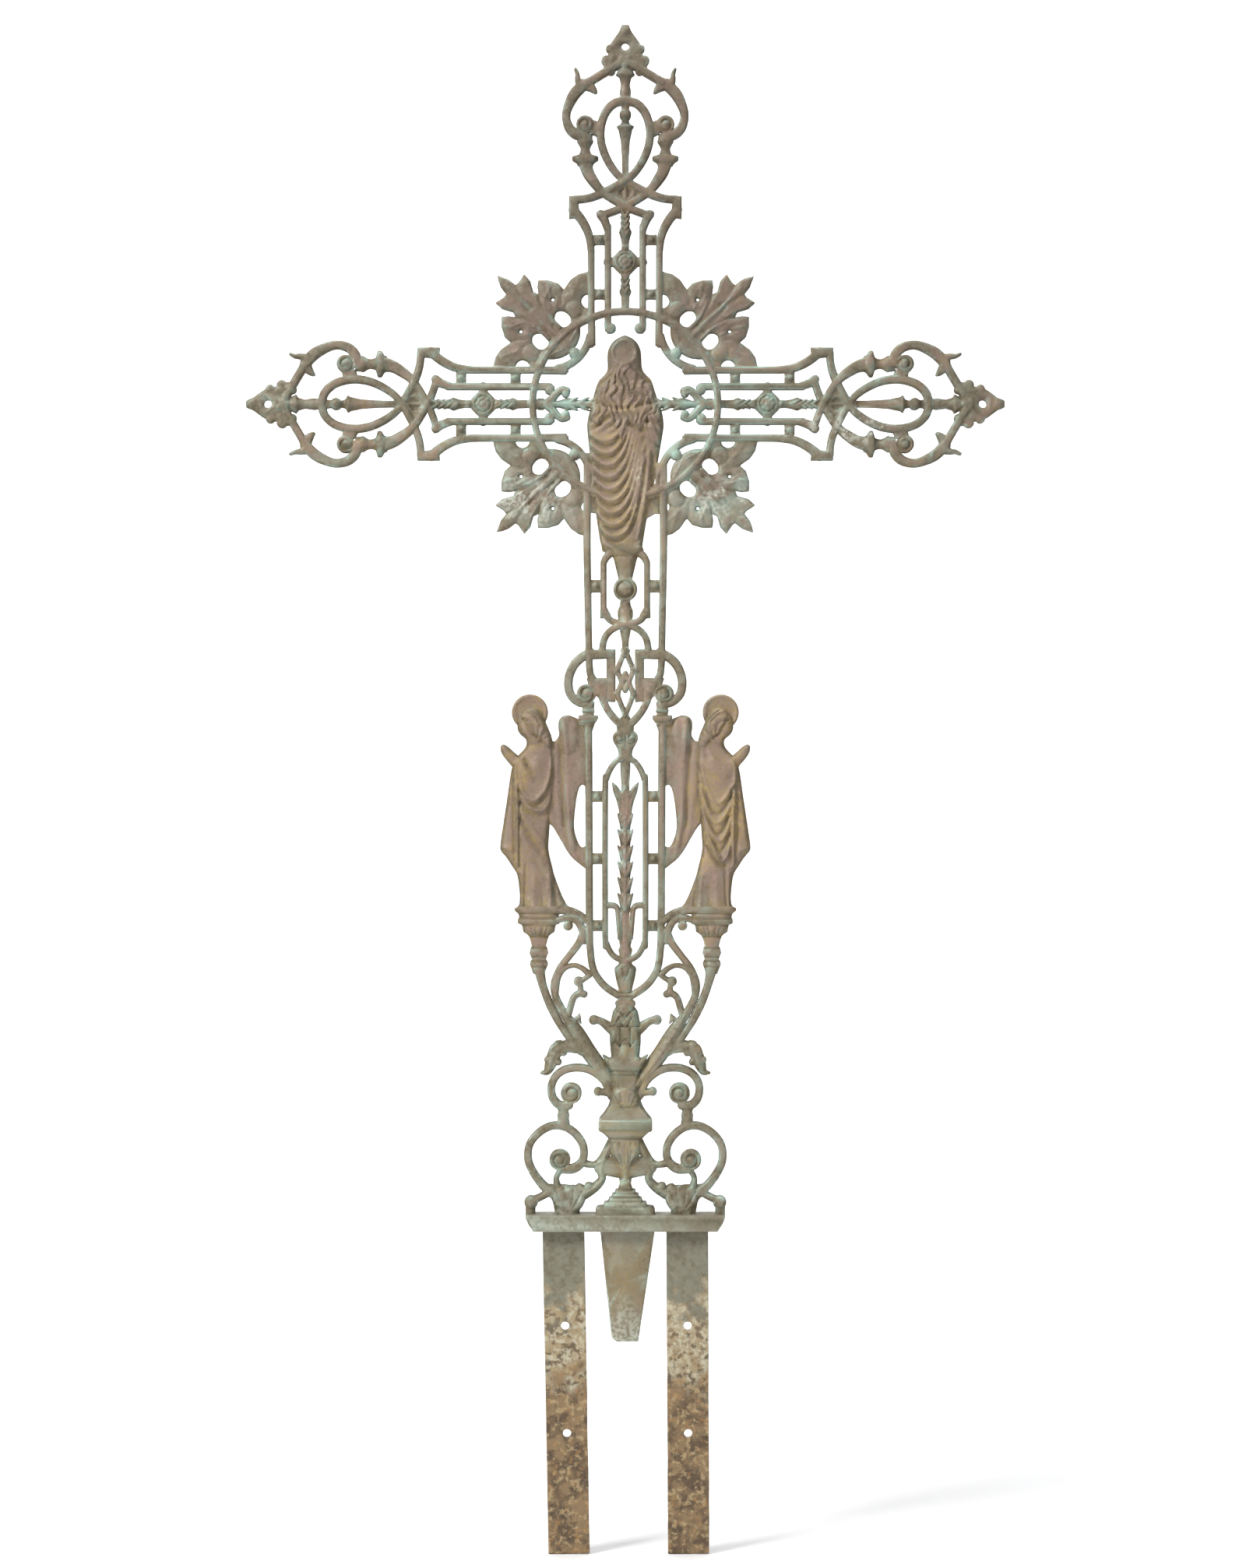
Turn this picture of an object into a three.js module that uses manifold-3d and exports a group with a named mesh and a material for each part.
// Openwork cast iron grave cross on two wrought iron straps.
// Millimetres, Z up, Z = 0 at the seat under the base bar, X = 0 on the axis, front towards -Y.
import * as THREE from 'three';
import { mergeVertices } from 'three/addons/utils/BufferGeometryUtils.js';
import Module from 'manifold-3d';

const wasm = await Module();
wasm.setup();

// Casting
const thickness = 14; // bars, front to back
const crossing = 1061; // middle of the ring above the seat
const FACET = 0.9; // how far a flat facet may leave its curve
const FACET_AREA = 400; // mm2 of facets that may leave their place by as much

// Arms
const armReach = 488; // middle of the ring to each tip
const armOuter = 43.7; // arm axis to the middle of an outer bar
const armInner = 22.4; // arm axis to the middle of an inner bar
const armBar = 8.6;
const finialHeight = 229;
const teeHalf = 72.5; // the flared end of an arm, to one side
const teeHeight = 29;
const tieHeight = 13;
const bossRadius = 15.5;

// Crossing
const ringRadius = 119; // to the middle of the ring's bar
const ringBar = 8.6;
const cornerReach = 77; // crossing to the ends of the arms' outer bars inside the ring
const cornerRadius = 52.8;
const hookRadius = 6.3;
const sprigReach = 164; // crossing to a leaf's tip, along X and along Z
const leafThickness = 9;

// Central figure
const figureHeight = 279;
const figureFoot = 870;

// Shaft
const shaftOuter = 48.5; // axis to a side bar
const shaftInner = 28;
const shaftBar = 9.4;
const scrollTop = 745; // where the side bars open into scrolls
const scrollHeight = 105;
const columnTop = 642;
const columnHalf = 46.8; // axis to a column
const columnBar = 9.4;
const panelHalf = 25.8;
const panelBar = 7.4;
const panelTop = 607;
const panelFoot = 345;

// Side figures
const angelHeight = 279;
const angelFoot = 409;
const pedestalAxis = 111; // cross's axis to a pedestal's

// Foot
const footHeight = 345; // seat to the foot of the long panel
const baseHalf = 127;
const baseDepth = 44;
const baseHeight = 21;
const tongueTop = 36; // half width at the seat
const tongueFoot = 16.5;
const tongueLength = 143;
const tongueThickness = 10;

// Straps
const strapWidth = 54;
const strapThickness = 6;
const strapLength = 416; // below the seat
const strapSeat = 12; // inside the base bar
const strapAxis = 79.5;
const strapLean = [1.0, 0.25]; // degrees, left and right
const boltHole = 10.8;
const holeFromEnd = 155; // strap foot to the lower hole
const holePitch = 138;
const clearance = 0.3;

const half = thickness / 2;
const MIRROR = new THREE.Matrix4().makeScale(-1, 1, 1);
const SWAP = new THREE.Matrix4().set(0, 0, 1, 0, 0, 1, 0, 0, 1, 0, 0, 0, 0, 0, 0, 1);

// Bodies

/**
 * A closed body through a row of equal loops of [x, y, z]. A ring joins its last loop to its first;
 * rise lifts the middles of the two end faces along Y.
 */
function skin(loops, { ring = false, rise = 0 } = {}) {
  const count = loops[0].length;
  const points = loops.flat();
  const index = [];
  const rows = ring ? loops.length : loops.length - 1;
  for (let i = 0; i < rows; i++) {
    const a = i * count;
    const b = ((i + 1) % loops.length) * count;
    for (let j = 0; j < count; j++) {
      const k = (j + 1) % count;
      index.push(a + j, a + k, b + k, a + j, b + k, b + j);
    }
  }
  if (!ring) {
    for (const [first, turn] of [[0, 1], [(loops.length - 1) * count, -1]]) {
      const loop = points.slice(first, first + count);
      const centre = [0, 1, 2].map((axis) => mean(loop.map((p) => p[axis])));
      centre[1] -= turn * rise;
      const middle = points.push(centre) - 1;
      for (let j = 0; j < count; j++) {
        const edge = [first + j, first + ((j + 1) % count)];
        index.push(middle, ...(turn > 0 ? edge.reverse() : edge));
      }
    }
  }
  return body(points, index);
}

function mean(values) {
  return values.reduce((sum, value) => sum + value, 0) / values.length;
}

/** Triangles as a geometry with its faces pointing out. */
function body(points, index) {
  const geometry = new THREE.BufferGeometry();
  geometry.setAttribute('position', new THREE.Float32BufferAttribute(points.flat(), 3));
  let volume = 0;
  const [a, b, c] = [new THREE.Vector3(), new THREE.Vector3(), new THREE.Vector3()];
  for (let i = 0; i < index.length; i += 3) {
    a.fromArray(points[index[i]]);
    b.fromArray(points[index[i + 1]]);
    c.fromArray(points[index[i + 2]]);
    volume += a.dot(b.cross(c));
  }
  geometry.setIndex(volume < 0 ? index.toReversed() : index);
  return geometry;
}

/** Drops the points that lie within the facet tolerance of the chord between their neighbours. */
function thin(points) {
  if (points.length < 3) return points;
  const chord = new THREE.Line3(points[0], points.at(-1));
  const foot = new THREE.Vector3();
  const gaps = points.map((p) => chord.closestPointToPoint(p, true, foot).distanceTo(p));
  const furthest = gaps.indexOf(Math.max(...gaps));
  if (gaps[furthest] < FACET) return [points[0], points.at(-1)];
  return [...thin(points.slice(0, furthest + 1)), ...thin(points.slice(furthest)).slice(1)];
}

/** A smooth line through [x, z, half width] points. */
function trace(points) {
  if (points.length < 3) return points.map(([x, z, w]) => new THREE.Vector3(x, w, z));
  const knots = points.map(([x, z, w]) => new THREE.Vector3(x, w, z));
  const curve = new THREE.CatmullRomCurve3(knots, false, 'centripetal');
  return thin(curve.getPoints(knots.length * 6));
}

/** A bar along [x, z, half width] points. crown raises its middle line, lift moves it in depth. */
function bar(points, { depth = half, crown = 0, lift = 0, ring = false } = {}) {
  const line = ring ? points.map(([x, z, w]) => new THREE.Vector3(x, w, z)) : trace(points);
  const loops = line.map((point, i) => {
    const before = line[i - 1] ?? (ring ? line.at(-1) : point);
    const after = line[i + 1] ?? (ring ? line[0] : point);
    const along = new THREE.Vector2(after.x - before.x, after.z - before.z).normalize();
    const [dx, dz] = [-along.y * point.y, along.x * point.y];
    const left = [point.x + dx, point.z + dz];
    const right = [point.x - dx, point.z - dz];
    const section = [[left, -depth], [right, -depth], [right, depth], [left, depth]];
    if (crown) {
      section.splice(3, 0, [[point.x, point.z], depth + crown]);
      section.splice(1, 0, [[point.x, point.z], -depth - crown]);
    }
    return section.map(([[x, z], y]) => [x, y + lift, z]);
  });
  return skin(loops, { ring });
}

/** A flat plate with this [x, z] outline. */
function plate(points, depth = half) {
  const line = points.map(([x, z]) => new THREE.Vector2(x, z));
  const contour = THREE.ShapeUtils.isClockWise(line) ? line.reverse() : line;
  const faces = THREE.ShapeUtils.triangulateShape(contour, []);
  const count = contour.length;
  const corners = [-depth, depth].flatMap((y) => contour.map((p) => [p.x, y, p.y]));
  const index = faces.flatMap(([a, b, c]) => [a, b, c, a + count, c + count, b + count]);
  for (let i = 0; i < count; i++) {
    const j = (i + 1) % count;
    index.push(j, i, j + count, j + count, i, i + count);
  }
  return body(corners, index);
}

/** The whole outline of a plate that is drawn for x > 0 alone. */
function symmetric(side) {
  const other = side.filter(([x]) => x > 0).map(([x, z]) => [-x, z]);
  return [...side, ...other.reverse()];
}

/** A turned form about an upright axis, from [z, radius] rows, flattened in depth. */
function spindle(rows, { x = 0, flat = 0.9, sides = 6, reach = Infinity } = {}) {
  const loops = rows.map(([z, radius]) => Array.from({ length: sides }, (_, k) => {
    const angle = (2 * Math.PI * k) / sides;
    const y = THREE.MathUtils.clamp(radius * flat * Math.sin(angle), -reach, reach);
    return [x + radius * Math.cos(angle), y, z];
  }));
  return skin(loops);
}

/** A button whose faces rise to a blunt point in the middle. */
function button(x, z, radius, depth, { sides = 8, rise = radius * 0.4 } = {}) {
  const loops = [-depth, depth].map((y) => Array.from({ length: sides }, (_, k) => {
    const angle = (2 * Math.PI * (k + 0.5)) / sides;
    return [x + radius * Math.cos(angle), y, z + radius * Math.sin(angle)];
  }));
  return skin(loops, { rise });
}

/** A flat disc with a raised eye: the rolled end of a scroll. */
function volute(x, z, radius, eye) {
  return [button(x, z, radius, half, { sides: 10, rise: 0 }), button(x, z, eye, half, { sides: 5, rise: 3 })];
}

/** A flat turned outline about an upright axis, from [z, half width] rows. */
function profile(rows, x = 0, depth = half) {
  const side = rows.map(([z, reach]) => [x + reach, z]);
  return plate([...side, ...rows.map(([z, reach]) => [x - reach, z]).reverse()], depth);
}

/** A block with a blunt point on each face, that ties two bars. */
function tie(x0, x1, z, height) {
  const [low, high] = [z - height / 2, z + height / 2];
  const loops = [-half, half].map((y) => [[x0, y, low], [x1, y, low], [x1, y, high], [x0, y, high]]);
  return skin(loops, { rise: 3 });
}

// Placing and joining

function moved(geometries, matrix) {
  return geometries.map((geometry) => {
    const copy = geometry.clone().applyMatrix4(matrix);
    if (matrix.determinant() < 0) copy.setIndex(Array.from(copy.index.array).reverse());
    return copy;
  });
}

function raised(geometries, z, scale = 1) {
  const grow = new THREE.Vector3(scale, 1, scale);
  return moved(geometries, new THREE.Matrix4().makeTranslation(0, 0, z).scale(grow));
}

function turned(geometries, quarter) {
  return moved(geometries, new THREE.Matrix4().makeRotationY((quarter * Math.PI) / 2));
}

function both(geometries) {
  return [...geometries, ...moved(geometries, MIRROR)];
}

function solid(geometry) {
  const merged = mergeVertices(geometry, 1e-4);
  return new wasm.Manifold(new wasm.Mesh({
    numProp: 3,
    vertProperties: new Float32Array(merged.attributes.position.array),
    triVerts: new Uint32Array(merged.index.array),
  }));
}

/** The same solid with its spare corners taken out. */
function lightened(shape) {
  const { vertProperties, triVerts } = shape.getMesh();
  const corners = (array, make) => Array.from({ length: array.length / 3 }, (_, i) => make(3 * i));
  const points = corners(vertProperties, (i) => new THREE.Vector3().fromArray(vertProperties, i));
  const triangles = corners(triVerts, (i) => Array.from(triVerts.slice(i, i + 3)));
  return solid(body(points.map((p) => p.toArray()), lighter(points, triangles).flat()));
}

function join(solids) {
  if (solids.length === 1) return solids[0];
  const middle = Math.ceil(solids.length / 2);
  return join(solids.slice(0, middle)).add(join(solids.slice(middle)));
}

/** Sums over the planes of some faces, that tell the squared distance of a point from them. */
function planeSums(normal, offset, area) {
  const plane = [normal.x, normal.y, normal.z, offset];
  return plane.flatMap((a) => plane.map((b) => a * b * area));
}

function squaredError(sums, point) {
  const p = [point.x, point.y, point.z, 1];
  return sums.reduce((total, value, k) => total + value * p[k >> 2] * p[k & 3], 0);
}

/** The faces left when each corner that its neighbours can do without is drawn onto one of them. */
function lighter(points, triangles) {
  const facing = (face) => {
    const [a, b, c] = face.map((i) => points[i]);
    return b.clone().sub(a).cross(c.clone().sub(a));
  };
  const sums = points.map(() => new Array(16).fill(0));
  for (const face of triangles) {
    const normal = facing(face);
    const area = normal.length() / 2;
    if (area === 0) continue;
    normal.divideScalar(2 * area);
    const terms = planeSums(normal, -normal.dot(points[face[0]]), area);
    for (const i of face) sums[i] = sums[i].map((value, k) => value + terms[k]);
  }
  let faces = triangles;
  for (let before = Infinity; faces.length < before;) {
    before = faces.length;
    faces = drawn(faces, points, sums, facing);
  }
  return faces;
}

/** One round of lighter: the cheapest moves that do not touch one another. */
function drawn(faces, points, sums, facing) {
  const around = points.map(() => []);
  faces.forEach((face) => face.forEach((i) => around[i].push(face)));
  const ends = (i) => new Set(around[i].flat().filter((j) => j !== i));
  const joint = (a, b) => sums[a].map((value, k) => value + sums[b][k]);
  const moves = faces.flatMap((face) => face.map((a, k) => {
    const b = face[(k + 1) % 3];
    return { a, b, cost: squaredError(joint(a, b), points[b]) };
  })).filter(({ cost }) => cost < FACET ** 2 * FACET_AREA).sort((p, q) => p.cost - q.cost);
  const busy = new Set();
  const gone = new Set();
  for (const { a, b } of moves) {
    if (busy.has(a) || busy.has(b)) continue;
    const [near, far] = [ends(a), ends(b)];
    if ([...near].filter((i) => far.has(i)).length !== 2) continue;
    const [shared, kept] = [true, false].map((held) => around[a].filter((face) => face.includes(b) === held));
    if (kept.some((face) => folds(facing(face), facing(face.map((i) => (i === a ? b : i)))))) continue;
    shared.forEach((face) => gone.add(face));
    kept.forEach((face) => face.splice(face.indexOf(a), 1, b));
    sums[b] = joint(a, b);
    [a, b, ...near, ...far].forEach((i) => busy.add(i));
  }
  return faces.filter((face) => !gone.has(face));
}

/** Whether a facet would shrink to nothing or turn over. */
function folds(was, now) {
  return now.length() < 0.02 || was.dot(now) < 0.3 * was.length() * now.length();
}

function named(name, shape, material) {
  const { vertProperties, triVerts } = shape.getMesh();
  const geometry = new THREE.BufferGeometry();
  geometry.setAttribute('position', new THREE.BufferAttribute(vertProperties, 3));
  geometry.setIndex(new THREE.BufferAttribute(triVerts, 1));
  geometry.computeVertexNormals();
  const mesh = new THREE.Mesh(geometry, material);
  mesh.name = name;
  return mesh;
}

// Arms

/** The finial, drawn on a grid of 229 units from its foot to its tip. */
function finial() {
  const grid = finialHeight / 229;
  const palmette = [
    [0, 229], [4.5, 228], [7, 220], [18, 205], [21.5, 204], [24, 199], [22, 190], [26, 187], [28, 181],
    [25, 168], [0, 178],
  ];
  const side = [
    bar([[-2, 183.7, 5], [48, 154, 5]]),
    bar([[47, 151, 7], [41, 145, 4.5], [37, 142, 2]]),
    bar([[58, 150, 6], [60, 162, 3.4], [61.5, 171, 1.7]]),
    bar([[46, 155, 5.5], [57, 146, 7.5], [67, 136.5, 7.3], [74.5, 117.5, 5.7], [75.5, 109.5, 5.5],
      [71, 95, 6], [64, 87.5, 6.2], [53, 84, 5.5], [43, 88, 5]]),
    ...volute(51, 99, 11, 4.5),
    plate([[34, 82], [47, 88], [47, 106], [34, 104]]),
    profile([[86, 9], [78, 10.5], [70, 6], [63, 7], [58, 17], [53, 16.5], [48, 9.5]], 51.5),
    bar([[51.5, 51, 9], [48, 39, 7.5], [41.5, 28, 6.8], [33, 17, 5.6], [20, 7, 4.8], [0, -5.5, 4.8],
      [-15, -12, 4.7], [-30, -16.5, 4.7]]),
    bar([[66, 3.5, 4.7], [55, 3.8, 4.7], [42, 6.5, 5], [28, 12, 5], [12, 20, 4.8], [0, 27, 4.6], [-9, 35, 4.6],
      [-18, 47, 4.8], [-25.5, 60, 5], [-30, 73, 5], [-31.5, 87, 5], [-30.5, 101, 5], [-25, 116, 5],
      [-15, 126.5, 5], [0, 131, 5]]),
  ];
  const middle = [
    plate(symmetric(palmette)),
    profile([[172, 7], [165, 12.5], [160, 8], [150, 5.5], [142, 7], [130, 6]]),
    spindle([[128, 5], [119, 8], [103, 4.6], [95, 11.5], [86, 6], [28, 4]]),
    plate([[-31, 11], [0, 31], [31, 11], [0, -9]], half - 3),
  ];
  return raised([...both(side), ...middle], armReach - finialHeight, grid);
}

/** One arm, x across it and z out from the middle of the ring. */
function arm() {
  const foot = armReach - finialHeight;
  const barHalf = armBar / 2;
  const inner = armInner + barHalf;
  const outer = armOuter - barHalf;
  const tee = foot + 8;
  const ties = [foot - 118, foot - 48];
  const boss = (ringRadius + foot - 13) / 2;
  const side = [
    bar([[armOuter, cornerReach, barHalf], [armOuter, foot - 79, barHalf]]),
    bar([[armOuter, foot - 80, barHalf], [armOuter + 0.6, foot - 58, 4.8], [armOuter + 3, foot - 42, 5.4],
      [armOuter + 8.5, foot - 29, 5.6], [armOuter + 15, foot - 19, 5.8], [teeHalf - 5.5, foot - 9, 6]]),
    plate([[teeHalf - 11.5, tee], [teeHalf, tee], [teeHalf, tee - teeHeight],
      [teeHalf - 8, tee - teeHeight + 1], [teeHalf - 14, tee - teeHeight + 7],
      [teeHalf - 11.5, tee - teeHeight + 13]]),
    bar([[armInner, ringRadius - ringBar * 2.5, barHalf], [armInner, foot - 40, barHalf]]),
    plate([[armInner - barHalf, foot - 44], [inner, foot - 44], [inner + 2.5, foot - 33],
      [inner + 11.5, foot - 13], [armInner - 2, foot - 12], [armInner - 3, foot - 30]]),
    ...ties.map((z) => tie(inner - 1, outer + 1, z, tieHeight)),
    bar([[inner - 4, boss, 5.5], [bossRadius - 4, boss, 6.5]]),
    ...hook(),
  ];
  const above = boss + bossRadius;
  const below = boss - bossRadius;
  const middle = [
    spindle([[foot - 7, 5], [foot - 30, 5], [foot - 37, 8.5], [foot - 50, 5.5], [above - 5, 5]]),
    spindle([[below + 5, 4.6], [below - 10, 4], [below - 22, 8.2], [below - 30, 5], [ringRadius, 4.5]]),
    button(0, boss, bossRadius, half, { rise: 0 }),
    button(0, boss, bossRadius * 0.6, half, { sides: 6, rise: 4.5 }),
  ];
  return [...finial(), ...both(side), ...middle];
}

/** The end of an inner bar, curled towards the arm's axis inside the ring. */
function hook() {
  const z = ringRadius - 22;
  return [
    button(armInner - 4.2, z, hookRadius, half, { sides: 7, rise: 0 }),
    plate([[armInner - 4, z], [armInner + 3.2, z - 3], [armInner + armBar / 2, z + 8], [armInner - 4, z + 8]]),
  ];
}

// Crossing

function ring() {
  const count = 44;
  const points = Array.from({ length: count }, (_, k) => {
    const angle = (2 * Math.PI * k) / count;
    return [ringRadius * Math.cos(angle), ringRadius * Math.sin(angle), ringBar / 2];
  });
  return bar(points, { ring: true });
}

/** One quarter of the crossing: leaf spray outside the ring, stepped arc and bud inside it. */
function quarter() {
  const grid = sprigReach / 164;
  const lobes = [
    [48, 171], [66, 163], [80, 151], [88, 159], [100, 164], [110, 160], [111, 149], [121, 148], [125, 156],
    [131, 166], [139, 154], [149, 158],
  ];
  const base = [[132, 44], [98, 70], [70, 98], [44, 132]];
  const mirrored = lobes.map(([x, z]) => [z, x]).reverse();
  const sprig = plate([...lobes, [164, 164], ...mirrored, ...base], leafThickness / 2);
  const veins = [
    [[80, 104, 6], [76, 126, 13], [52, 158, 5]],
    [[90, 104, 5], [102, 132, 12], [127, 160, 4]],
  ].map((points) => bar(points, { depth: 1, crown: 5.5 }));
  const rib = bar([[86, 86, 8], [120, 120, 15], [160, 160, 3]], { depth: 1, crown: 6.5 });
  const leaf = [sprig, rib, ...veins, ...moved(veins, SWAP)];
  const centre = cornerReach + 20.3;
  const arc = Array.from({ length: 6 }, (_, k) => {
    const angle = Math.PI + 0.215 + ((Math.PI / 2 - 0.43) * k) / 5;
    return [centre + cornerRadius * Math.cos(angle), centre + cornerRadius * Math.sin(angle), 5];
  });
  const step = plate([[armOuter - 6, cornerReach], [armOuter + 5, cornerReach],
    [armOuter + 5, cornerReach + 11], [armOuter - 4.3, cornerReach + 30]]);
  const bud = [
    plate([[62, 100], [64, 77], [70, 70], [77, 64], [100, 62], [88, 88]], half - 1.5),
    button(65.5, 65.5, 7, half, { sides: 6 }),
  ];
  return [...moved(leaf, new THREE.Matrix4().makeScale(grid, 1, grid)), bar(arc), step, ...moved([step], SWAP),
    ...bud];
}

/** The openings of one leaf spray. */
function sprigHoles() {
  const side = [
    plate([[48, 139], [48, 121], [57, 129]], thickness),
    plate([[100, 73], [108, 70], [117, 79], [116, 86], [107, 91], [96, 80]], thickness),
  ];
  return [...side, ...moved(side, SWAP)];
}

/** The stems between the ring and the central figure, drawn along the arm's axis. */
function stem() {
  const curl = [
    bar([[0, 100, 6.5], [8, 88, 5.5], [16, 78, 5]]),
    button(16.5, 78.5, 6.2, half, { sides: 6 }),
  ];
  return [
    spindle([[ringRadius, 6.5], [111, 7], [103, 6], [98, 7.5], [93, 6]]),
    ...both(curl),
    bar([[0, 95, 4], [0, 72, 8], [0, 58, 5], [0, 36, 5.5]], { depth: half - 3, crown: 3 }),
  ];
}

function crossingParts() {
  const quarters = [0, 1, 2, 3].flatMap((k) => turned(quarter(), k));
  const arms = [-1, 0, 1].flatMap((k) => turned(arm(), k));
  const stems = [-1, 1].flatMap((k) => turned(stem(), k));
  return raised([ring(), ...quarters, ...arms, ...stems], crossing);
}

// Figures

/**
 * A standing figure from rows of [height, left, right, near, far], with carved(x, z, side) as the
 * depth that its folds add.
 */
function statue(rows, columns, carved) {
  return skin(rows.map(([z, left, right, near, far]) => {
    const middle = (left + right) / 2;
    const reach = (right - left) / 2;
    const face = (count, depth, side) => Array.from({ length: count }, (_, k) => {
      const u = -Math.cos((Math.PI * (k + 0.5)) / count);
      const x = middle + reach * u;
      const round = (1 - Math.abs(u) ** 2.6) ** 0.5;
      return [x, side * (depth * round + carved(x, z, side) * Math.min(1, round * 1.4)), z];
    });
    const front = face(columns[0], near, -1);
    const back = face(columns[1], far, 1).reverse();
    return [[left, 0, z], ...front, [right, 0, z], ...back];
  }));
}

/** Heights from first to last, closer together where the carving is fine. */
function between(rows, step) {
  return rows.flatMap((row, i) => {
    const next = rows[i + 1];
    if (!next) return [row];
    const count = Math.max(1, Math.round((next[0] - row[0]) / step));
    const at = (share) => row.map((value, j) => value + (next[j] - value) * share);
    return Array.from({ length: count }, (_, k) => at(k / count));
  });
}

function smoothstep(value, low, high) {
  return THREE.MathUtils.smoothstep(value, low, high);
}

/** The robed figure with long hair, drawn on a grid of 279 units. */
function figure() {
  const grid = figureHeight / 279;
  const rows = [
    [0, -25, 21, 8, 8], [8, -31, 22, 10, 9], [35, -36, 26, 11, 10], [70, -40.5, 33, 12, 11],
    [115, -44, 42, 12, 12], [160, -49, 49, 12, 12], [180, -46, 47, 12, 12], [200, -41, 40.5, 12, 12],
    [216, -37, 36, 11, 10],
    [226, -32, 31, 10, 9], [234, -23, 22, 10, 8], [250, -22.5, 20.5, 11, 11], [262, -21, 18.5, 11, 11],
    [272, -14.5, 13, 8, 8], [279, -4, 4, 3, 3],
  ];
  const carved = (x, z, side) => {
    const turn = side < 0 ? x : -x;
    const swag = 1.8 * Math.cos((2 * Math.PI * (z - 0.014 * (turn + 20) ** 2)) / 27);
    const drift = 46 * Math.max(0, (165 - z) / 165) ** 1.6;
    const sweep = 1.8 * Math.cos((2 * Math.PI * (turn + drift)) / 15);
    const split = smoothstep(turn, 2 - 0.25 * (165 - z), 12 - 0.25 * (165 - z));
    const robe = swag * (1 - split) + sweep * split;
    const hair = 1.5 * Math.cos(turn * 0.4) + 1.5;
    const locks = smoothstep(z + 0.5 * Math.abs(turn), 168, 176) * (1 - smoothstep(z, 232, 240));
    return robe * smoothstep(z, 4, 20) * (1 - smoothstep(z, 160, 172)) + (side < 0 ? hair * locks : 0);
  };
  const web = [
    plate([[-53, 128], [-53, 53], [-34, 50], [-34, 128]], 4),
    plate([[53, 88], [53, 50], [38, 50], [20, 40], [20, 88]], 4),
  ];
  const cup = spindle([[4, 22], [-6, 15], [-18, 12.5], [-30, 9.5], [-42, 8]], { reach: 12 });
  const disc = moved([button(-2, 257, 12, 4, { rise: 0 })], new THREE.Matrix4().makeTranslation(0, -9.5, 0));
  return raised([statue(between(rows, 12), [10, 5], carved), ...disc, ...web, cup], figureFoot, grid);
}

/** A praying angel seen from the side, drawn on a grid of 279 units, x out from the column. */
function angel(fold) {
  const grid = angelHeight / 279;
  const rows = [
    [0, 72, 137, 9, 9], [22, 82, 135.5, 10, 10], [46, 91, 138.5, 11, 10], [70, 97.5, 153, 11, 10],
    [85, 99, 160.5, 12, 10], [115, 97, 156.5, 12, 11], [150, 93, 151, 12, 11], [190, 92, 145, 11, 10],
    [206, 92, 133, 10, 9], [213, 92, 127, 9, 8], [221, 94, 127, 9, 8], [229, 97, 137, 11, 10],
    [238, 101, 138.5, 12, 11], [247, 104, 136.5, 12, 11], [256, 108, 132, 10, 9], [262, 115, 126, 5, 5],
  ];
  const carved = (x, z) => {
    const hang = 1.8 * Math.cos((2 * Math.PI * (z + fold.sag * (x - fold.middle) ** 2)) / fold.pitch);
    const drop = 1.8 * Math.cos((2 * Math.PI * (x + fold.slant * (z - 60))) / 17);
    const skirt = 1 - smoothstep(z, fold.hem - 12, fold.hem + 12);
    return (drop * skirt + hang * (1 - skirt)) * smoothstep(z, 2, 14) * (1 - smoothstep(z, 200, 212));
  };
  const hair = bar([[122, 260, 5], [106, 238, 8], [98, 208, 6]], { depth: 8, crown: 4 });
  const halo = button(122.5, 256, 23.2, 3, { sides: 16, rise: 1 });
  const hands = bar([[138, 192, 8], [149, 203, 6.5], [155, 212, 2.5]], { depth: 4, crown: 3 });
  const arm = bar([[110, 196, 7], [124, 181, 8], [144, 196, 6]], { depth: 10, crown: 3 });
  const robe = statue(between(rows, 17), [8, 4], carved);
  return raised([robe, hair, halo, hands, arm, ...wing(), ...pedestal()], angelFoot, grid);
}

/** The folded wing between an angel and its column. */
function wing() {
  const outline = [
    [50, 247], [62, 247], [79, 251.5], [86, 246], [83, 223], [98, 216], [98, 120], [91.5, 107], [84, 94],
    [70, 71], [61, 63], [47, 56], [47, 84], [59, 83], [66.5, 106], [62, 145], [57, 162], [50, 166],
  ];
  const quills = [
    [[76, 244, 4], [74, 150, 7], [64, 76, 2]],
    [[86, 214, 4], [84, 130, 7], [77, 92, 2]],
  ];
  return [plate(outline, 5), ...quills.map((points) => bar(points, { depth: 2, crown: 5.5 }))];
}

/** Moulded pedestal, bracket scroll and the curl that ties it to the column. */
function pedestal() {
  const mouldings = [
    [4, 31], [-2, 26], [-9, 25], [-15, 26.5], [-18, 21], [-26, 20], [-31, 13], [-43, 9], [-53, 12], [-61, 9],
    [-67, 11.5], [-80, 7],
  ];
  return [
    profile(mouldings, pedestalAxis, half + 2),
    bar([[85, 1, 8], [66, -3, 8], [50, -11, 5]]),
    bar([[92, -13, 4], [84, -10, 4], [73, -9, 4.2], [62, -13, 4.6], [55, -24, 5], [53, -38, 4]]),
    button(73.5, -18, 6, half, { sides: 6 }),
  ];
}

// Shaft

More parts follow.
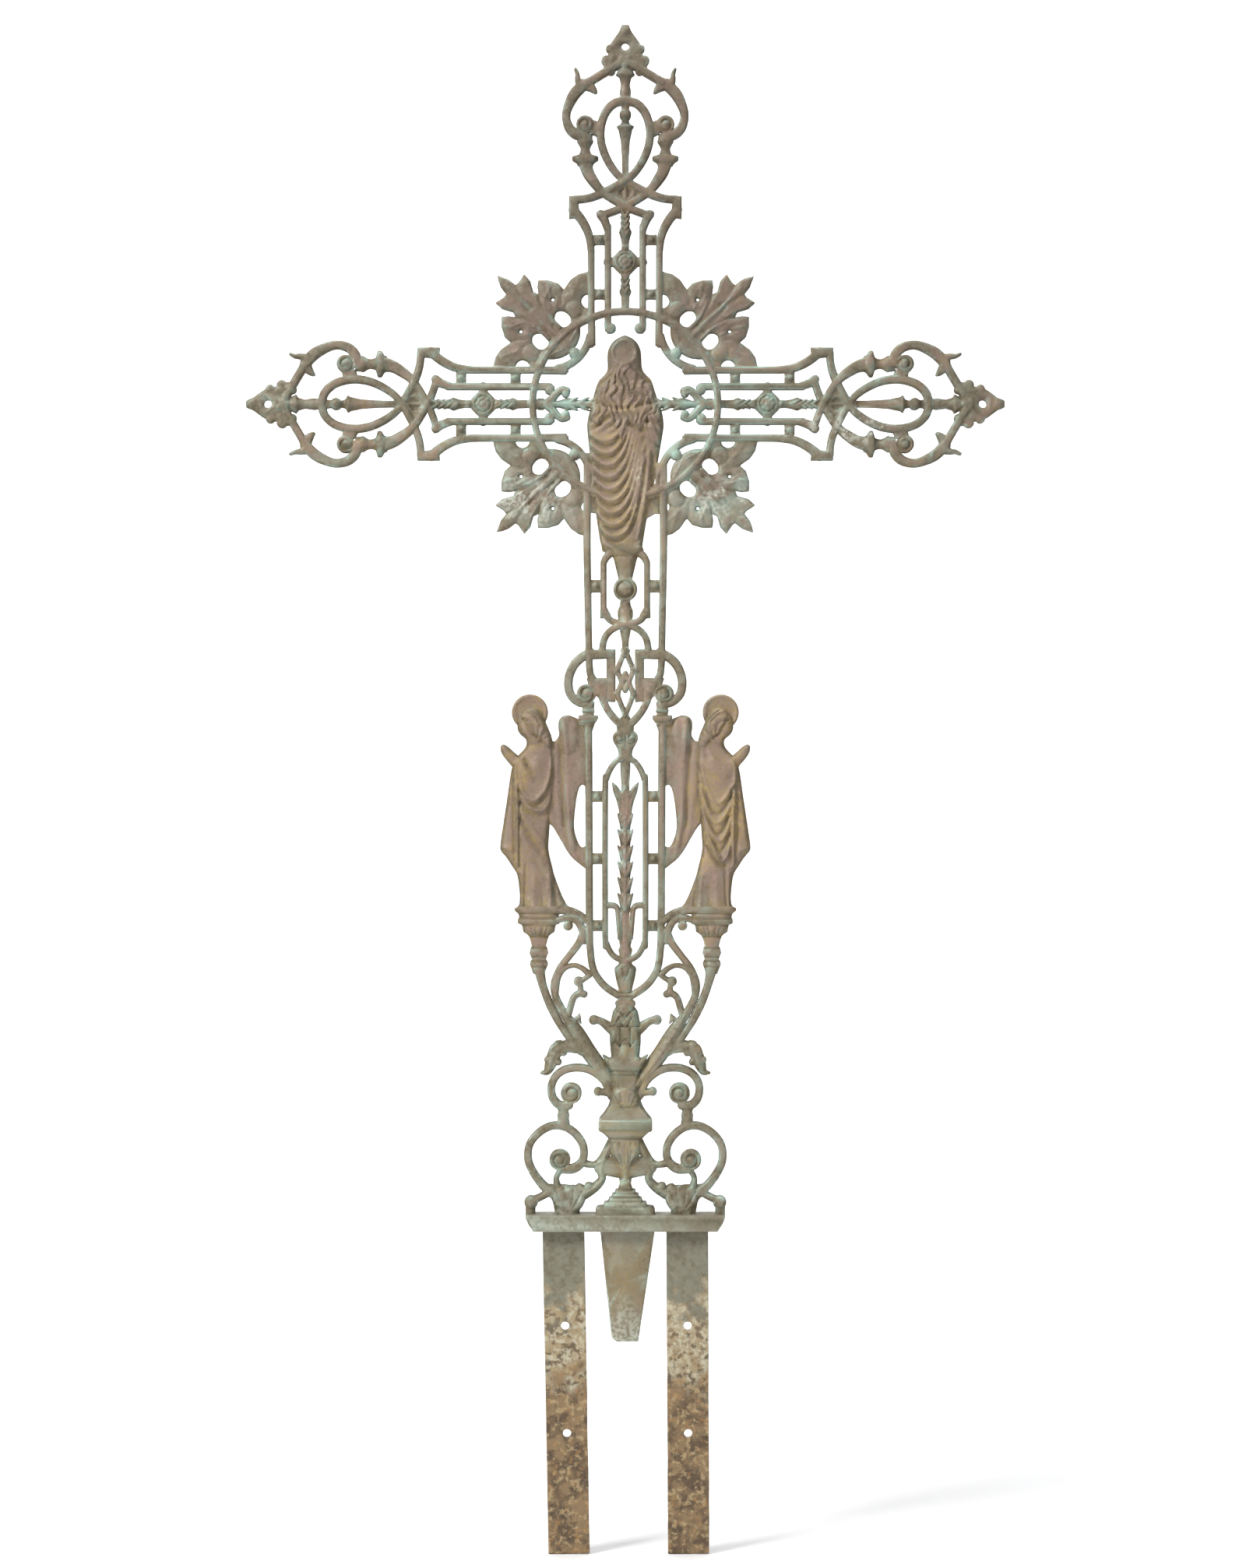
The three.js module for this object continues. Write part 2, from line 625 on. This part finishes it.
/** Side bars, inner frame and the scrolls under the figure. */
function shaft() {
  const sideHalf = shaftBar / 2;
  const frameTop = figureFoot - 8;
  const frameFoot = scrollTop + 45;
  const boss = scrollTop + 78;
  const side = [
    bar([[shaftOuter, crossing - cornerReach, sideHalf + 0.4], [shaftOuter + 0.8, figureFoot + 20, sideHalf],
      [shaftOuter - 0.5, frameFoot + 20, sideHalf - 0.2], [shaftOuter - 1.7, scrollTop, sideHalf - 0.4]]),
    bar([[16, frameTop + 10, 5], [25, frameTop + 2, 4.4], [shaftInner, frameTop - 9, 3.9],
      [shaftInner, frameFoot + 6, 3.9]]),
    plate([[shaftInner - 4, frameFoot + 10], [shaftInner + 3.9, frameFoot + 10],
      [shaftInner + 4.5, frameFoot - 4], [shaftInner - 1, frameFoot - 4], [shaftInner - 10, frameFoot - 1]]),
    tie(shaftInner + 3, shaftOuter - 3, scrollTop + 82, 16),
    bar([[-shaftInner + 2, frameFoot + 2, 4.2], [-20, frameFoot - 6, 4.2], [-10, frameFoot - 10.5, 4.2],
      [0, frameFoot - 12, 4.2], [10, frameFoot - 15, 4.2], [20, frameFoot - 21, 4.2], [27, frameFoot - 31, 4.2],
      [30, scrollTop - 2, 4.4]]),
    ...sideScroll(),
  ];
  const middle = [
    button(0, boss, 15, half, { sides: 12, rise: 0 }),
    button(0, boss, 9.5, half, { sides: 6, rise: 5 }),
    spindle([[boss - 13, 6], [boss - 21, 7], [boss - 28, 9.6], [boss - 41, 9.6]], { reach: 9 }),
    profile([[frameFoot - 14, 5], [frameFoot - 20, 7], [frameFoot - 32, 4.6], [frameFoot - 42, 4],
      [scrollTop - 2, 7]]),
  ];
  return [...both(side), ...middle, ...knot()];
}

/** One side scroll with its volute, drawn on a grid of 105 units down from the top of the scrolls. */
function sideScroll() {
  const grid = scrollHeight / 105;
  const parts = [
    bar([[46, -3, 5.5], [56, -10, 6], [65, -19, 6], [71, -31, 5.8], [73.2, -43, 5.6], [71.5, -54, 5.6],
      [66, -62, 5.6], [56, -67.5, 5.4], [46, -66, 5]]),
    ...volute(50.5, -56, 10.5, 4),
    bar([[47, 0, 4.6], [46.2, -20, 4.4], [44.5, -32, 4.4], [40, -39, 5]]),
    bar([[22, -5, 6], [48, -6, 6]]),
    plate([[50, -36], [21, -36], [21, -66], [25, -66], [34, -62], [45, -52]]),
    bar([[36, -44, 7], [31, -55, 5.5], [27, -68, 4.6], [21, -79, 4.6], [13, -89, 4.8], [4, -97, 5],
      [-4, -101, 5]]),
    plate([[12.5, 1], [12.5, -5], [14.5, -5], [14.5, -62], [12.5, -62], [12.5, -67], [24, -66], [24, 0]]),
    profile([[-69, 8], [-76, 7], [-82, 7.5], [-86, 15], [-93, 10], [-103, 7]], 48, half + 1),
  ];
  return raised(parts, scrollTop, grid);
}

/** Two interlaced lozenges tied to the posts, over the collar and heart above the long panel. */
function knot() {
  const link = (top, foot, reach) => {
    const waist = (top + foot) / 2;
    const side = [
      bar([[0, top, 3.4], [reach, waist, 3.4]]),
      bar([[reach, waist, 3.4], [0, foot, 3.4]]),
      button(reach, waist, 4.2, half, { sides: 6, rise: 0 }),
      bar([[reach - 1, waist, 2.6], [18, waist, 2.6]]),
    ];
    return both(side);
  };
  const heart = [[0, 3], [10, 5], [16, -5], [9.5, -19], [8.5, -25], [10, -31], [0, -33]];
  return [
    ...link(scrollTop, scrollTop - 52, 10.5),
    ...link(scrollTop - 30, scrollTop - 84, 10.5),
    profile([[scrollTop - 74, 4], [scrollTop - 84, 4.5], [scrollTop - 95, 11], [scrollTop - 107, 10]]),
    ...raised([plate(symmetric(heart)), button(6, -5, 7, half, { sides: 6, rise: 3.5 }),
      button(-6, -5, 7, half, { sides: 6, rise: 3.5 })], scrollTop - 109),
  ];
}

/** Columns and the long round-ended panel between them. */
function panel() {
  const w = panelBar / 2;
  const side = [
    bar([[columnHalf + 0.5, columnTop + 2, columnBar / 2], [columnHalf, panelTop - 47, columnBar / 2],
      [columnHalf - 0.8, panelFoot + 45, 4.6], [columnHalf - 1.8, panelFoot + 15, 4.5],
      [columnHalf - 4.8, panelFoot - 7, 4.5], [36, panelFoot - 20, 4.5], [26, panelFoot - 32, 4.6],
      [13, panelFoot - 41, 4.6], [0, panelFoot - 48, 4.6], [-9, panelFoot - 54, 4.2]]),
    bar([[0, panelTop, w], [11, panelTop - 4.5, w], [19, panelTop - 14.5, w], [24, panelTop - 27, w],
      [panelHalf, panelTop - 43, w], [panelHalf, panelFoot + 37, w], [24, panelFoot + 23, w],
      [19, panelFoot + 12, w], [12, panelFoot + 5, w], [0, panelFoot, w]]),
    ...[212, 132, 46].map((z) => tie(panelHalf + w - 1, columnHalf - 3.7, panelFoot + z, 14)),
    bar([[panelHalf, panelFoot + 72, 4], [15, panelFoot + 72, 4], [10, panelFoot + 66, 3.4],
      [7, panelFoot + 30, 3]]),
  ];
  const stalk = [[panelTop, 6.5], [panelTop - 14, 6.5], [panelTop - 34, 5.2], [panelTop - 66, 5]];
  const husks = Array.from({ length: 6 }, (_, k) => panelFoot + 188 - 20.5 * k)
    .flatMap((top) => [[top, 9], [top - 19, 5.4]]);
  const cup = [[0, -34], [5.5, -34], [9, -37], [16, -33.5], [17, -40], [7, -54], [5, -66], [0, -66]];
  const middle = [
    profile(stalk),
    ...raised([plate(symmetric(cup))], panelTop),
    spindle([[panelTop - 60, 5], ...husks, [panelFoot + 50, 5.5]], { reach: half }),
    profile([[panelFoot + 56, 5.5], [panelFoot + 34, 6.5], [panelFoot + 25, 8], [panelFoot + 20, 6.6],
      [panelFoot + 15, 9], [panelFoot + 6, 7], [panelFoot - 2, 8]]),
  ];
  return [...both(side), ...middle];
}

// Foot

/** The bracket legs under the pedestals, with the loop and buds between them and the column. */
function brackets() {
  return [
    bar([[pedestalAxis, 338, 8], [108, 322, 5.6], [104, 308, 5], [97, 290, 5.2], [88, 272, 5], [79, 257, 4.6],
      [68, 242, 5], [56, 229, 5]]),
    bar([[53, 384, 5], [60, 368, 4.8], [72, 352, 4.4], [84, 336, 4.4], [91, 318, 4.6], [90, 302, 4.6],
      [82, 284, 5], [72, 268, 6]]),
    bar([[89, 306, 3.6], [86, 324, 3.4], [78, 336, 3.2], [66, 340, 3], [55, 336, 3.4], [46, 328, 4]]),
    button(60, 319.5, 6, half, { sides: 6 }),
    bar([[60, 318, 3.6], [47, 326, 3]]),
    bar([[74, 272, 4], [70, 288, 4.4], [66, 299, 4.2], [59, 304, 4.4], [53, 303, 4.6]]),
    bar([[57, 304, 4], [58, 316, 3.4]]),
    bar([[76, 276, 5], [64, 255, 10.5], [47, 229, 10], [30, 206, 9], [14, 186, 5]],
      { depth: half - 3, crown: 6 }),
    plate([[66, 272], [58, 279], [56, 264]]),
  ];
}

/** The two C-scrolls of one side and the leaves that spring from them. */
function footScrolls() {
  return [
    bar([[18, 172, 5], [26, 190, 5], [36, 200, 5], [48, 206.5, 5], [62, 208.7, 5], [76, 206.5, 5], [87, 200, 5],
      [93.5, 190, 5], [95.2, 179, 5], [92, 167, 5.4], [84, 159, 6], [72, 161, 5]]),
    ...volute(69.5, 177, 13.5, 5),
    bar([[20, 176, 5], [35, 178, 4]]),
    button(35, 178, 5.4, half, { sides: 6 }),
    bar([[58, 233, 6], [72, 236, 7], [88, 231, 8.5], [95, 214, 8], [101, 201, 4], [108, 203, 1.5]],
      { depth: half - 3, crown: 5 }),
    profile([[160, 8], [152, 7], [148, 8], [141, 7], [134, 8]], 79.5, half + 1),
    bar([[94, 48, 6.5], [106, 58, 5.6], [118, 74, 5], [124.6, 90, 5], [123.6, 108, 5], [114.5, 122, 5],
      [101, 131.5, 5], [88, 134.5, 5], [74, 131, 5], [62.5, 122, 5], [54.8, 110, 5], [53, 97, 5], [57, 86, 6],
      [67, 79, 7], [80, 80, 6]]),
    ...volute(84, 91, 13.5, 5),
    bar([[17, 116, 5], [23, 102, 6], [31, 89, 5.5], [40, 84, 4], [50, 85, 5]]),
    bar([[26, 96, 5], [31, 76, 5.5], [28, 62, 5], [38, 55, 6], [52, 48, 8], [66, 42, 10], [71, 14, 12]]),
    bar([[86, 82, 7], [87, 66, 5], [84, 54, 7], [80, 42, 9], [74, 14, 12]]),
    plate([[52, 44], [52, 57], [68, 58], [84, 58], [84, 42]]),
    bar([[8, 80, 13], [22, 82, 12], [32, 80, 8]]),
    bar([[102, 48, 5], [121, 37, 5]]),
    button(121, 36, 8.5, half, { sides: 7 }),
    plate([[115.5, 34], [128, 34], [128, 14], [115.5, 14]]),
    bar([[96, 52, 7], [86, 40, 8], [79, 14, 10]]),
  ];
}

/** Tulip body, vase and stepped plinth on the axis. */
function vase() {
  const ear = [
    bar([[10, 262, 9], [22, 267, 6.5], [31, 269.5, 5], [39, 269, 5]]),
    button(40.5, 269, 5.6, half, { sides: 6 }),
  ];
  const steps = [
    [5.5, 62], [9, 54], [15, 47], [18, 41], [22, 36], [26, 31], [34, 30], [38, 25], [38, 12], [0, 12],
  ];
  const tulip = [
    [352, 7], [341, 9], [338, 14], [325, 12.6], [309, 8.6], [290, 10], [281, 16], [255, 20], [232, 19],
    [214, 17],
  ];
  const body = [
    [222, 16], [200, 15], [198, 20], [184, 18], [157, 25], [143, 35], [130, 34], [115, 21], [100, 20], [82, 12],
    [68, 6], [54, 6],
  ];
  return [
    ...both(ear),
    spindle(tulip, { reach: half + 3 }),
    spindle(body, { reach: half + 5 }),
    plate(symmetric([[0, 62], ...steps]), half + 6),
  ];
}

function baseBar() {
  const end = [[baseHalf, baseHeight + 1], [baseHalf - 1, baseHeight * 0.7], [baseHalf - 5, baseHeight * 0.33],
    [baseHalf - 9, 0]];
  const tongue = [[-tongueTop + 3, 6], [tongueTop + 3, 6], [tongueFoot, -tongueLength],
    [-tongueFoot + 5, -tongueLength], [-tongueFoot - 1, -tongueLength + 5]];
  return [
    plate(symmetric([[0, baseHeight], [baseHalf - 1, baseHeight], ...end.slice(1), [0, 0]]), baseDepth / 2),
    plate(tongue, tongueThickness / 2),
  ];
}

// Straps

/** A box about x = 0 between two heights. */
function block(width, depth, foot, top) {
  return new THREE.BoxGeometry(width, depth, top - foot).translate(0, 0, (top + foot) / 2);
}

function bare(geometry) {
  const copy = geometry.clone();
  copy.deleteAttribute('normal');
  copy.deleteAttribute('uv');
  return copy;
}

function hole(z) {
  return new THREE.CylinderGeometry(boltHole / 2, boltHole / 2, strapThickness * 3, 16).translate(0, 0, z);
}

/** Where a strap stands: its axis on its side of the cross, leaning about its seat. */
function strapPlace(side) {
  const lean = THREE.MathUtils.degToRad(strapLean[side < 0 ? 0 : 1]);
  return new THREE.Matrix4().makeTranslation(side * strapAxis, 0, 0)
    .multiply(new THREE.Matrix4().makeRotationY(-lean));
}

function strap(side) {
  const lower = holeFromEnd - strapLength;
  const placed = (geometry) => solid(bare(geometry).applyMatrix4(strapPlace(side)));
  const holes = [lower, lower + holePitch].map((z) => placed(hole(z)));
  return placed(block(strapWidth, strapThickness, -strapLength, strapSeat)).subtract(join(holes));
}

function strapSlot(side) {
  const gap = 2 * clearance;
  const slot = block(strapWidth + gap, strapThickness + gap, -baseHeight, strapSeat + clearance);
  return bare(slot).applyMatrix4(strapPlace(side));
}

// Assembly

function casting() {
  const fits = new THREE.Matrix4().makeScale(footHeight / 345, 1, footHeight / 345);
  const foot = moved([...both([...brackets(), ...footScrolls()]), ...vase()], fits);
  const angels = [
    ...angel({ sag: -0.02, middle: 118, pitch: 34, slant: -0.12, hem: 120 }),
    ...moved(angel({ sag: -0.03, middle: 121, pitch: 28, slant: 0.06, hem: 60 }), MIRROR),
  ];
  const parts = [...crossingParts(), ...figure(), ...shaft(), ...panel(), ...moved(angels, MIRROR), ...foot,
    ...baseBar()];
  const eyes = [-1, 0, 1].flatMap((k) => turned(raised([eye()], armReach - 29), k));
  const openings = [0, 1, 2, 3].flatMap((k) => turned(sprigHoles(), k));
  const cuts = [...raised([...eyes, ...openings], crossing), strapSlot(-1), strapSlot(1)];
  return lightened(join(parts.map(solid)).subtract(join(cuts.map(solid))));
}

/** The round eye of the palmette. */
function eye() {
  return button(0, 0, 5.6, thickness, { sides: 8 });
}

const castIron = new THREE.MeshStandardMaterial({ color: 0x857565, roughness: 0.75, metalness: 0.35 });
const wroughtIron = new THREE.MeshStandardMaterial({ color: 0x7a6350, roughness: 0.85, metalness: 0.3 });

const cross = new THREE.Group();
cross.add(named('cast_cross', casting(), castIron));
cross.add(named('strap_left', strap(-1), wroughtIron));
cross.add(named('strap_right', strap(1), wroughtIron));

export default cross;
